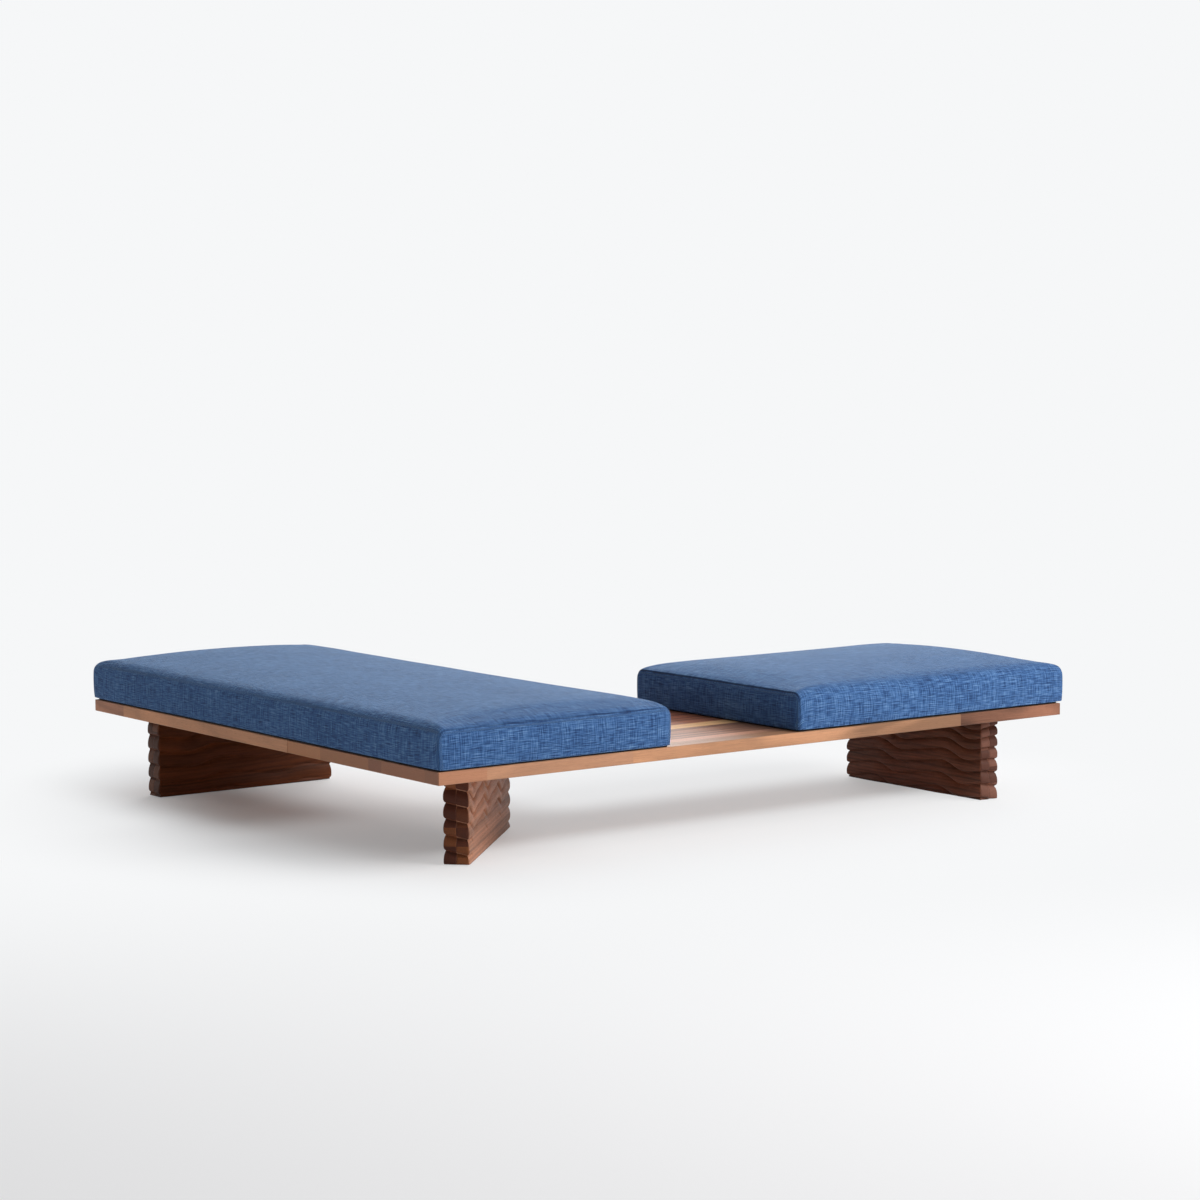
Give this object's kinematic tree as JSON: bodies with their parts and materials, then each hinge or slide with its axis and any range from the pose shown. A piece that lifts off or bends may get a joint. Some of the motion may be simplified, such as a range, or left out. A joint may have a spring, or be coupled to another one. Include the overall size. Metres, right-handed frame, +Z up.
{
  "type": "l-shaped daybed",
  "caption": "Low L-shaped walnut daybed: two slab panels on carved rippled slab legs, with a long and a short loose upholstered cushion.",
  "frame": {"origin": "floor level, under the middle of the whole outline", "axes": "+X along the bench to its free end, +Y back along the arm, +Z up"},
  "size_m": [2.143, 1.837, 0.3898],
  "materials": {
    "walnut": "satin oil",
    "pale_walnut": "satin oil",
    "sapwood": "satin oil",
    "dark_walnut": "satin oil",
    "carved_walnut": "satin oil, hand carved",
    "carved_walnut_dark": "satin oil, hand carved",
    "beech": "plain",
    "zinc_steel": "zinc plated",
    "brass": "machined",
    "felt": "pressed wool felt",
    "blue_weave": "slubbed plain weave",
    "foam": "open-cell foam",
    "birch_ply": "sanded plywood",
    "black_underlay": "non-slip cloth"
  },
  "bodies": {
    "frame": {"front_stave_corner": "walnut", "front_stave_left": "walnut", "front_stave_middle": "walnut", "front_stave_right": "dark_walnut", "broad_stave": "pale_walnut", "sapwood_stave": "sapwood", "narrow_stave": "walnut", "dark_stave": "dark_walnut", "back_stave": "walnut", "arm_outer_stave": "walnut", "arm_outer_end_stave": "pale_walnut", "arm_stave_2": "pale_walnut", "arm_stave_3": "walnut", "arm_stave_4": "dark_walnut", "arm_inner_stave": "walnut", "seam_dowels": "beech", "seam_bolts": "zinc_steel", "seam_nuts": "zinc_steel", "seam_saddles": "zinc_steel", "corner_leg_left_ply": "carved_walnut", "corner_leg_right_ply": "carved_walnut_dark", "arm_leg_front_ply": "carved_walnut", "arm_leg_back_ply": "carved_walnut_dark", "bench_leg_inner_ply": "carved_walnut", "bench_leg_outer_ply": "carved_walnut_dark", "corner_leg_felt": "felt", "arm_leg_felt": "felt", "bench_leg_felt": "felt", "leg_bolts": "zinc_steel", "leg_washers": "zinc_steel", "leg_inserts": "brass"},
    "long_cushion": {"long_cushion_cover": "blue_weave", "long_cushion_foam": "foam", "long_cushion_base": "birch_ply", "long_cushion_underlay": "black_underlay"},
    "short_cushion": {"short_cushion_cover": "blue_weave", "short_cushion_foam": "foam", "short_cushion_base": "birch_ply", "short_cushion_underlay": "black_underlay"}
  },
  "joints": [
    {"name": "long_cushion_lift", "type": "slide", "parent": "frame", "child": "long_cushion", "axis": [0, 0, 1], "range_m": [0, 0.25]},
    {"name": "short_cushion_lift", "type": "slide", "parent": "frame", "child": "short_cushion", "axis": [0, 0, 1], "range_m": [0, 0.25]}
  ]
}
